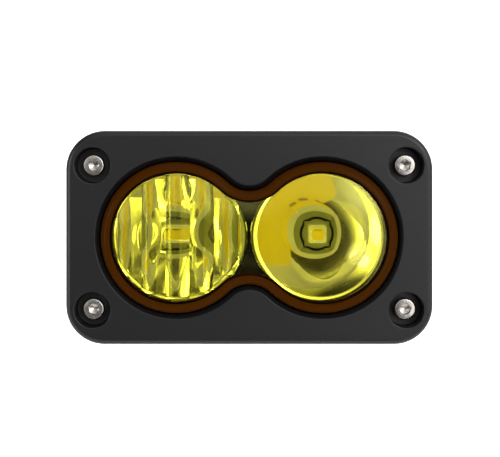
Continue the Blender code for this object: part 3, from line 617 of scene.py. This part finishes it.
def fluted_optic():
    """The clear disc over the left cell, with upright flutes of stepped lengths."""
    back = RIM_FRONT - 0.25 * MM
    front = back - 0.9 * MM
    foot = front + 0.3 * MM
    edge = RIM_RADIUS - 0.4 * MM
    disc = turned(
        "fluted_optic_fine",
        [
            (edge, front),
            (edge, foot + 0.05 * MM),
            (RIM_RADIUS, foot + 0.05 * MM),
            (RIM_RADIUS, back),
        ],
        128,
    )
    depth, valley, lap = 1.75 * MM, 0.75 * MM, 0.02 * MM
    crest = front - depth
    half, rise = FLUTE_PITCH / 2, depth - valley
    radius = (half**2 + rise**2) / (2 * rise)
    sweep = math.asin(half / radius)
    steps = 16
    for i, half_height in enumerate(FLUTE_HEIGHTS):
        centre = (i - (len(FLUTE_HEIGHTS) - 1) / 2) * FLUTE_PITCH
        angles = [sweep * (2 * k / steps - 1) for k in range(steps + 1)]
        section = [
            (centre + (radius + lap) * math.sin(a), crest + radius * (1 - math.cos(a)))
            for a in angles
        ]
        section += [(centre + half + lap, foot), (centre - half - lap, foot)]
        loops = [[(x, y, z) for x, y in section] for z in (-half_height, half_height)]
        join(disc, loft("flute", loops))
    cutter = loft(
        "edge_cutter",
        [
            ring(circle(2 * edge, 128), crest - MM),
            ring(circle(2 * edge, 128), foot + 0.04 * MM),
            ring(circle(edge - 0.01 * MM, 128), foot + 0.04 * MM),
            ring(circle(edge - 0.01 * MM, 128), crest - MM),
        ],
        closed=True,
    )
    cut(disc, cutter)
    moved(disc, x=-LOBE_X)
    shaded(disc, "clear_plastic", angle=25)
    return stands_for(disc, "clear_plastic", "fluted_optic")


def led(side, centre_x):
    """One LED: a notched ceramic base, the phosphor with three bond pads, and the moulded dome."""
    base_front = LED_BACK - 0.6 * MM
    die_front = base_front - 0.25 * MM
    sunk = base_front + 0.03 * MM  # the dome and the die are bonded this far into the base
    square = rounded_rectangle(LED_SIZE, LED_SIZE, 0.3 * MM, 4)
    base = prism(f"led_base_{side}_fine", square, base_front, LED_BACK)
    for x in (-LED_SIZE / 2, LED_SIZE / 2):
        for z in (-LED_SIZE / 2, LED_SIZE / 2):
            notch = prism("notch", circle(0.45 * MM, 16, x, z), base_front - MM, LED_BACK + MM)
            cut(base, notch)
    shaded(base, "ceramic")
    square = rounded_rectangle(DIE_SIZE, DIE_SIZE, 0.12 * MM, 3)
    die = prism(f"led_die_{side}_fine", square, die_front, sunk)
    pad_front, pad_back = die_front - 0.02 * MM, die_front + 0.02 * MM
    for x in (-0.5 * MM, 0.0, 0.5 * MM):
        join(die, prism("bond_pad", circle(0.15 * MM, 16, x, 0.86 * MM), pad_front, pad_back))
    shaded(die, "phosphor", "bond_pad")
    for face in die.data.polygons:
        face.material_index = 1 if face.center.y < die_front - 0.005 * MM else 0
    steps, radius, centre = 20, DOME_RADIUS, base_front - 0.1 * MM
    turns = [math.pi / 2 * i / steps for i in range(steps)]
    profile = [(radius, sunk)]
    profile += [(radius * math.cos(t), centre - radius * math.sin(t)) for t in turns]
    dome = turned(f"led_dome_{side}_fine", profile, 96)
    shaded(dome, "dome_silicone", angle=60)
    for made, slot in ((base, "ceramic"), (die, "phosphor"), (dome, "clear_plastic")):
        moved(made, x=centre_x)
        stands_for(made, slot, made.name.replace("_fine", ""))


# ---------------------------------------------------------------- fasteners


def thread(radius, start, end, pitch=0.5 * MM, depth=0.27 * MM):
    """Profile points of thread ridges from start to end."""
    points = []
    y = start
    while y + pitch <= end:
        points += [(radius, y), (radius, y + pitch * 0.12)]
        points += [(radius - depth, y + pitch * 0.5), (radius - depth, y + pitch * 0.62)]
        y += pitch
    return points + [(radius, y)]


def corner_fasteners():
    """The four socket-head screws with their washers, lock nuts and nylon rings."""
    head_seat = BEZEL_FRONT + COUNTERBORE_DEPTH - 0.25 * MM
    top, head, shank = -3.0 * MM, 2.75 * MM, 1.45 * MM
    edge = 0.45 * MM
    crown = fillet((head - edge, top + edge), edge, -90, 0, 6)
    profile = [*crown, (head, -0.15 * MM), (head - 0.15 * MM, 0.0)]
    profile += [(shank + 0.1 * MM, 0.0), (shank, 0.12 * MM)]
    profile += thread(shank, 5.0 * MM, 15.5 * MM) + [(shank - 0.35 * MM, 16.0 * MM)]
    screw = turned("screw", profile, 40)
    recess = loft(
        "socket",
        [
            ring(polygon(2.9 * MM), top - 0.2 * MM),
            ring(polygon(2.5 * MM), top + 0.2 * MM),
            ring(polygon(2.5 * MM), top + 1.5 * MM),
            ring(polygon(0.2 * MM), top + 2.0 * MM),
        ],
    )
    cut(screw, recess)
    washer = turned(
        "washer",
        [
            (3.4 * MM, 0.0),
            (3.5 * MM, 0.1 * MM),
            (3.5 * MM, 0.4 * MM),
            (3.4 * MM, 0.5 * MM),
            (1.75 * MM, 0.5 * MM),
            (1.7 * MM, 0.4 * MM),
            (1.7 * MM, 0.1 * MM),
            (1.75 * MM, 0.0),
        ],
        48,
        hollow=True,
    )
    flats, height, bore = 5.5 * MM, 4.0 * MM, 1.6 * MM
    collar = height * 0.68
    nut = prism("nut", polygon(flats), 0.0, collar)
    corner, slope = flats / math.sqrt(3) + 0.05 * MM, 0.35 * MM
    cone = turned(
        "cone",
        [(flats / 2, 0.0), (corner, slope), (corner, collar - slope), (flats / 2, collar)],
        60,
    )
    combine(nut, [cone], "INTERSECT")
    crown = [
        (2.45 * MM, collar - 0.3 * MM),
        (2.45 * MM, height - 0.45 * MM),
        (2.3 * MM, height - 0.1 * MM),
        (2.1 * MM, height),
    ]
    join(nut, turned("collar", crown, 60))
    hollow = [(1.9 * MM, -MM), (1.9 * MM, 0.0), (bore, 0.3 * MM), (bore, height + MM)]
    cut(nut, turned("thread_hole", hollow, 40))
    cut(nut, prism("ring_seat", circle(2.12 * MM, 40), height - 1.2 * MM, height + MM))
    nylon = turned(
        "nylon",
        [
            (2.05 * MM, height - 1.1 * MM),
            (2.05 * MM, height - 0.2 * MM),
            (1.95 * MM, height - 0.12 * MM),
            (bore + 0.05 * MM, height - 0.12 * MM),
            (bore, height - 0.25 * MM),
            (bore, height - 1.1 * MM),
        ],
        40,
        hollow=True,
    )
    kinds = (
        (screw, "corner_screw", head_seat, "steel", "stainless_steel"),
        (washer, "washer", 3.0 * MM, "steel", "stainless_steel"),
        (nut, "lock_nut", 3.75 * MM, "steel", "stainless_steel"),
        (nylon, "nut_ring", 3.75 * MM, "nylon", "nylon"),
    )
    spins = (0, 25, 48, 11)  # degrees: no two screws stopped at the same angle
    for first, name, y, look, slot in kinds:
        shaded(first, look, angle=28)
        for i, (x, z) in enumerate(corner_places()):
            made = bpy.data.objects.new(f"{name}_{i + 1}_fine", first.data.copy())
            bpy.context.scene.collection.objects.link(made)
            turn = math.radians(spins[i]) if name == "corner_screw" else 0.0
            for vertex in made.data.vertices:
                vx, vy, vz = vertex.co
                vertex.co = (
                    x + vx * math.cos(turn) - vz * math.sin(turn),
                    y + vy,
                    z + vx * math.sin(turn) + vz * math.cos(turn),
                )
            stands_for(made, slot, f"{name}_{i + 1}")
        bpy.data.objects.remove(first)


# ---------------------------------------------------------------- housing


def housing():
    """The die-cast body, with rounded fins, the mounting flange and the gland's boss."""
    steps, tip_round = 8, 3.0 * MM
    turns = [math.pi / 2 * i / steps for i in range(steps + 1)]
    rings = [ring(stadium(BODY_RADIUS), HOUSING_FRONT + MM)]
    for t in turns:
        inset, back = tip_round * (1 - math.cos(t)), FIN_TIP - tip_round * (1 - math.sin(t))
        rings.append(ring(stadium(BODY_RADIUS - inset), back))
    body = loft("housing_fine", rings)
    gap, half = FIN_PITCH - FIN_THICKNESS, FIN_PITCH * FIN_COUNT / 2
    for i in range(FIN_COUNT + 1):
        x = -half + i * FIN_PITCH
        front = BLOCK_BACK if abs(x) < 8.4 * MM else FIN_ROOT
        # A rounded root and a little draft, as a casting has.
        root = [
            (x + gap / 2 * math.sin(a), front + 0.9 * MM * (1 - math.cos(a)))
            for a in (math.radians(-90 + 180 * k / 8) for k in range(9))
        ]
        mouth = gap / 2 + 0.12 * MM
        section = [*root, (x + mouth, FIN_TIP + MM), (x - mouth, FIN_TIP + MM)]
        high = 1.5 * BODY_RADIUS
        loops = [[(px, py, z) for px, py in section] for z in (-high, high)]
        cut(body, loft("slot", loops))
    flange_rings = []
    edge = 0.3 * MM
    for extra, y in (
        (edge, HOUSING_FRONT),
        (0, HOUSING_FRONT + edge),
        (0, HOUSING_FLANGE_BACK - edge),
        (edge, HOUSING_FLANGE_BACK),
    ):
        flange_rings.append(ring(flange_outline(extra), y))
    foot = (7.8 * MM, BLOCK_BACK - MM)
    boss = turned("boss", [foot, (7.5 * MM, FIN_TIP - 0.4 * MM), (7.1 * MM, FIN_TIP)], 64)
    join(body, loft("flange", flange_rings), boss)
    front = HOUSING_FRONT - MM
    cut(
        body,
        prism("upper", figure_eight(0), front, CAVITY_LEDGE),
        prism("lower", figure_eight(-1.6 * MM), CAVITY_LEDGE - MM, CAVITY_FLOOR),
        box("pocket", 16.8 * MM, 16.4 * MM, CAVITY_FLOOR - MM, POCKET_FLOOR),
        prism("gland_hole", circle(5.0 * MM, 48), POCKET_FLOOR - MM, FIN_TIP + MM),
    )
    groove = loft(
        "seal_groove",
        [
            ring(figure_eight(1.35 * MM), front),
            ring(figure_eight(1.35 * MM), HOUSING_FRONT + 1.2 * MM),
            ring(figure_eight(0.45 * MM), HOUSING_FRONT + 1.2 * MM),
            ring(figure_eight(0.45 * MM), front),
        ],
        closed=True,
    )
    cut(body, groove)
    for x, z in corner_places():
        cut(body, prism("hole", circle(1.65 * MM, 32, x, z), front, MM))
    for sx, sz in SCREW_SIGNS:
        place = circle(1.2 * MM, 24, sx * 26.0 * MM, sz * 11.0 * MM)
        cut(body, prism("board_hole", place, CAVITY_FLOOR - MM, CAVITY_FLOOR + 2.8 * MM))
    pad_front, hole_end = POCKET_FLOOR - 0.75 * MM, BLOCK_BACK - 0.8 * MM
    for sign in (-1, 1):
        x, z = sign * 6.0 * MM, -sign * 5.9 * MM
        join(body, prism("pad", circle(1.9 * MM, 24, x, z), pad_front, POCKET_FLOOR + 0.5 * MM))
        cut(body, prism("pad_hole", circle(0.95 * MM, 24, x, z), pad_front - MM, hole_end))
    seat = turned(
        "vent_seat",
        [
            (5.2 * MM, -BODY_RADIUS - MM),
            (5.2 * MM, VENT_SEAT_Z),
            (2.4 * MM, VENT_SEAT_Z),
            (2.4 * MM, -9.0 * MM),
        ],
        48,
    )
    cut(body, upright(seat, BREATHER_Y))
    bevelled(body, 0.22 * MM)
    shaded(body, "cast_black", weighted=True)
    return stands_for(body, "black_metal", "housing")


# ---------------------------------------------------------------- cable gland and breather


def hexagon(name, flats, front, back, break_front=True):
    """A hexagonal prism whose corners are turned off at its back, and at its front if asked."""
    made = prism(name, polygon(flats), front, back)
    corner = flats / math.sqrt(3) + 0.05 * MM
    slope = 0.6 * MM
    low, high = flats / 2 * 0.98, corner
    profile = [(low if break_front else high, front), (high, front + slope)]
    profile += [(high, back - slope), (low, back)]
    return combine(made, [turned("cone", profile, 72)], "INTERSECT")


def cable_gland():
    """The gland's threaded body, O-ring, rubber sleeve and cap nut."""
    face = FIN_TIP + 0.9 * MM
    hex_back, neck_back = face + 2.6 * MM, face + 5.6 * MM
    body = hexagon("gland_body_fine", 13.0 * MM, face, hex_back, break_front=False)
    pitch, spigot_end = 0.75 * MM, FIN_TIP - 5.5 * MM
    ridges = thread(4.75 * MM, spigot_end + 0.2 * MM, FIN_TIP, pitch, 0.35 * MM)
    spigot = turned("spigot", [(4.6 * MM, spigot_end), *ridges, (4.6 * MM, face + 0.5 * MM)], 48)
    ridges = thread(4.4 * MM, hex_back + 0.1 * MM, neck_back - 0.2 * MM, pitch, 0.3 * MM)
    neck = turned("neck", [(4.4 * MM, hex_back - 0.5 * MM), *ridges, (4.1 * MM, neck_back)], 48)
    join(body, spigot, neck)
    cut(
        body,
        prism("bore", circle(2.5 * MM, 40), FIN_TIP - 7 * MM, face + 2 * MM),
        prism("sleeve_seat", circle(3.5 * MM, 40), face + MM, neck_back + MM),
    )
    shaded(body, "cast_black")
    stands_for(body, "black_metal", "gland_body")

    middle = (FIN_TIP + face) / 2
    oring = torus("gland_oring_fine", 5.75 * MM, 0.62 * MM, 0.42 * MM, middle)
    shaded(oring, "rubber")
    stands_for(oring, "rubber", "gland_oring")

    sleeve_back = neck_back + 0.5 * MM
    front = face + 1.25 * MM
    sleeve = turned(
        "gland_seal_fine",
        [
            (3.3 * MM, front),
            (3.3 * MM, sleeve_back - 0.3 * MM),
            (3.1 * MM, sleeve_back),
            (2.75 * MM, sleeve_back),
            (2.5 * MM, sleeve_back - 0.3 * MM),
            (2.5 * MM, front),
        ],
        48,
        hollow=True,
    )
    shaded(sleeve, "rubber")
    stands_for(sleeve, "rubber", "gland_seal")

    nut_front, nut_back = hex_back + 0.25 * MM, neck_back + 2.4 * MM
    nut = hexagon("gland_nut_fine", 12.0 * MM, nut_front, nut_back - 1.2 * MM)
    crown = fillet((4.4 * MM, nut_back - 1.3 * MM), 1.3 * MM, 0, 90, 6)
    join(nut, turned("dome", [(5.7 * MM, nut_back - 1.6 * MM), *crown], 60))
    mouth = [(2.7 * MM, nut_front - MM), (2.7 * MM, nut_back - 0.4 * MM)]
    mouth += [(3.1 * MM, nut_back), (3.1 * MM, nut_back + MM)]
    cut(
        nut,
        prism("thread", circle(4.6 * MM, 48), nut_front - MM, sleeve_back + 0.3 * MM),
        turned("mouth", mouth, 48),
    )
    shaded(nut, "black_plastic")
    stands_for(nut, "black_plastic", "gland_nut")


def torus(name, ring_radius, width, depth, y, sides=48):
    """A ring of oval section round the Y axis."""
    section = [math.radians(360 * i / 16) for i in range(16)]
    profile = [(ring_radius + width * math.cos(a), y + depth * math.sin(a)) for a in section]
    return turned(name, profile, sides, hollow=True)


def breather():
    """The breather in the underside: made about the Y axis, then stood on end."""
    seat, rim, stem, bore = VENT_SEAT_Z, 4.6 * MM, 2.1 * MM, 1.1 * MM
    flange = seat - 0.7 * MM
    cup = flange - 0.8 * MM
    front = -BODY_RADIUS + 0.9 * MM
    body = turned(
        "vent_body_fine",
        [
            (rim, front),
            (rim, flange - 0.15 * MM),
            (rim - 0.15 * MM, flange),
            (stem, flange),
            (stem, seat + 4.7 * MM),
            (stem - 0.3 * MM, seat + 5.0 * MM),
            (bore, seat + 5.0 * MM),
            (bore, cup),
            (rim - 0.7 * MM, cup),
            (rim - 0.7 * MM, front),
        ],
        48,
        hollow=True,
    )
    oring = torus("vent_oring_fine", 3.15 * MM, 0.62 * MM, 0.3 * MM, (flange + seat) / 2)
    membrane = prism("vent_membrane_fine", circle(rim - MM, 48), cup - 0.3 * MM, cup - 0.1 * MM)
    cap_back, cap_front, edge = front - 0.15 * MM, -BODY_RADIUS - 0.2 * MM, 0.25 * MM
    cap_profile = [(rim - edge, cap_front), (rim, cap_front + edge), (rim, cap_back)]
    cap = turned("vent_cap_fine", cap_profile, 48)
    for turn in (0, 1):
        sizes = (1.0 * MM, 12 * MM) if turn else (12 * MM, 1.0 * MM)
        cut(cap, box("air_slot", *sizes, cap_back - 0.35 * MM, cap_back + MM))
    for made, look, slot in (
        (body, "black_plastic", "black_plastic"),
        (oring, "rubber", "rubber"),
        (membrane, "nylon", "nylon"),
        (cap, "black_plastic", "black_plastic"),
    ):
        upright(made, BREATHER_Y)
        shaded(made, look)
        stands_for(made, slot, made.name.replace("_fine", ""))


# ---------------------------------------------------------------- pieces kept from the CAD


def repaint():
    """Gives each CAD node that stays its material."""
    looks = {
        "lens_seal": "silicone",
        "led_board": "board_white",
        "thermal_pad": "pad_grey",
        "driver_board": "board_green",
        "input_capacitor": "can_metal",
        "output_capacitor": "can_metal",
    }
    for name in ("inductor", "driver_chip", "surge_diode", "board_link"):
        looks[name] = "chip_black"
    for name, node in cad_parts.items():
        if node.hide_render:
            continue
        look = looks.get(name, "steel")
        node.data.materials.clear()
        node.data.materials.append(LOOKS[look])


# ---------------------------------------------------------------- studio


def soft_box(name, place, target, width, height, radiance):
    """A rectangular soft light of that radiance, aimed at target."""
    light = bpy.data.lights.new(name, "AREA")
    light.shape = "RECTANGLE"
    light.size, light.size_y = width, height
    light.energy = radiance * math.pi * width * height
    made = bpy.data.objects.new(name, light)
    bpy.context.scene.collection.objects.link(made)
    made.location = place
    direction = Vector(target) - Vector(place)
    made.rotation_euler = direction.to_track_quat("-Z", "Y").to_euler()
    return made


def sky(scene):
    """The studio as the polished parts mirror it; the camera itself sees plain white."""
    world = bpy.data.worlds.new("studio")
    world.use_nodes = True
    scene.world = world
    nodes, links = world.node_tree.nodes, world.node_tree.links
    background = nodes["Background"]
    place = nodes.new("ShaderNodeTexCoord")

    def facing(direction, ends, levels):
        """A level that runs between two values as the cosine to that direction does."""
        cosine = nodes.new("ShaderNodeVectorMath")
        cosine.operation = "DOT_PRODUCT"
        cosine.inputs[1].default_value = Vector(direction).normalized()
        links.new(place.outputs["Generated"], cosine.inputs[0])
        span = nodes.new("ShaderNodeMapRange")
        span.interpolation_type = "SMOOTHSTEP"
        span.inputs["From Min"].default_value, span.inputs["From Max"].default_value = ends
        span.inputs["To Min"].default_value, span.inputs["To Max"].default_value = levels
        links.new(cosine.outputs["Value"], span.inputs["Value"])
        return span.outputs["Result"]

    def combined(operation, one, other):
        made = nodes.new("ShaderNodeMath")
        made.operation = operation
        links.new(one, made.inputs[0])
        links.new(other, made.inputs[1])
        return made.outputs["Value"]

    ramp = nodes.new("ShaderNodeValToRGB")
    stops = ramp.color_ramp.elements
    stops.remove(stops[0])
    stops[0].position, stops[0].color = 1.0, (1, 1, 1, 1)
    for angle, level in STUDIO_LEVELS:
        stop = stops.new((1 - math.cos(math.radians(angle))) / 2)
        stop.color = (level, level, level, 1)
    turned_away = nodes.new("ShaderNodeVectorMath")
    turned_away.operation = "DOT_PRODUCT"
    turned_away.inputs[1].default_value = -Vector(STUDIO_AXIS).normalized()
    links.new(place.outputs["Generated"], turned_away.inputs[0])
    shift = nodes.new("ShaderNodeMapRange")
    shift.inputs["From Min"].default_value = -1.0
    links.new(turned_away.outputs["Value"], shift.inputs["Value"])
    links.new(shift.outputs["Result"], ramp.inputs["Fac"])
    side = facing(STUDIO_SIDE, SIDE_SPAN, SIDE_LEVELS)
    level = combined("MULTIPLY", ramp.outputs["Color"], side)
    for direction, spread, radiance in STUDIO_LAMPS:
        ends = (math.cos(math.radians(spread)), math.cos(math.radians(spread / 2)))
        level = combined("ADD", level, facing(direction, ends, (0.0, radiance)))
    level = combined("MULTIPLY", level, facing((0, 0, 1), TABLE_EDGE, (TABLE_LEVEL, 1.0)))
    links.new(level, background.inputs["Strength"])
    background.inputs["Color"].default_value = (1, 1, 1, 1)

    white = nodes.new("ShaderNodeBackground")
    white.inputs["Color"].default_value = (1, 1, 1, 1)
    path = nodes.new("ShaderNodeLightPath")
    choose = nodes.new("ShaderNodeMixShader")
    links.new(path.outputs["Is Camera Ray"], choose.inputs["Fac"])
    links.new(background.outputs["Background"], choose.inputs[1])
    links.new(white.outputs["Background"], choose.inputs[2])
    links.new(choose.outputs["Shader"], nodes["World Output"].inputs["Surface"])


def studio():
    """The paper sweep, two soft lights, the sky and the camera."""
    scene = bpy.context.scene
    scene.view_settings.view_transform = "Standard"
    scene.view_settings.look = "None"
    sky(scene)

    soft_box("key", (0.26, -0.26, 0.16), (0, 0, 0), 0.16, 0.16, 3.0)
    soft_box("side", (-0.8, -0.6, 0.1), (0, 0, 0), 0.25, 0.5, 12.0)

    sweep = bmesh.new()
    bend = SWEEP_BACK - SWEEP_CURVE
    line = [(SWEEP_START, SWEEP_FLOOR), (bend, SWEEP_FLOOR)]
    line += [
        (bend + SWEEP_CURVE * math.sin(a), SWEEP_FLOOR + SWEEP_CURVE * (1 - math.cos(a)))
        for a in (math.pi / 2 * i / 12 for i in range(1, 13))
    ]
    line.append((SWEEP_BACK, SWEEP_TOP))
    sides = (-SWEEP_HALF_WIDTH, SWEEP_HALF_WIDTH)
    rows = [[sweep.verts.new((x, y, z)) for y, z in line] for x in sides]
    for i in range(len(line) - 1):
        sweep.faces.new((rows[0][i], rows[1][i], rows[1][i + 1], rows[0][i + 1]))
    backdrop = new_object("backdrop", sweep)
    paper = bpy.data.materials.new("paper")
    paper.use_nodes = True
    shader = paper.node_tree.nodes["Principled BSDF"]
    shader.inputs["Base Color"].default_value = (0.9, 0.9, 0.9, 1)
    shader.inputs["Roughness"].default_value = 0.9
    shader.inputs["Emission Color"].default_value = (1, 1, 1, 1)
    shader.inputs["Emission Strength"].default_value = 0.6
    backdrop.data.materials.append(paper)
    backdrop.data.shade_smooth()

    camera = bpy.data.cameras.new("camera")
    camera.sensor_width = SENSOR
    camera.lens = SENSOR * PIXELS_PER_MM * CAMERA_DISTANCE / MM / IMAGE_WIDTH
    camera.shift_x, camera.shift_y = SHIFT_X, SHIFT_Y
    eye = bpy.data.objects.new("camera", camera)
    scene.collection.objects.link(eye)
    eye.location = (CAMERA_X, BEZEL_FRONT - CAMERA_DISTANCE, CAMERA_Z)
    eye.rotation_euler = (math.pi / 2, 0, 0)
    camera.clip_start, camera.clip_end = 0.01, 20
    scene.camera = eye
    scene.cycles.max_bounces = 24
    scene.cycles.glossy_bounces = 12
    scene.cycles.transmission_bounces = 20


bezel()
lens()
panel_gasket()
for side, centre_x in (("left", -LOBE_X), ("right", LOBE_X)):
    reflector(side, centre_x)
    led(side, centre_x)
carrier()
fluted_optic()
corner_fasteners()
housing()
cable_gland()
breather()
repaint()
studio()
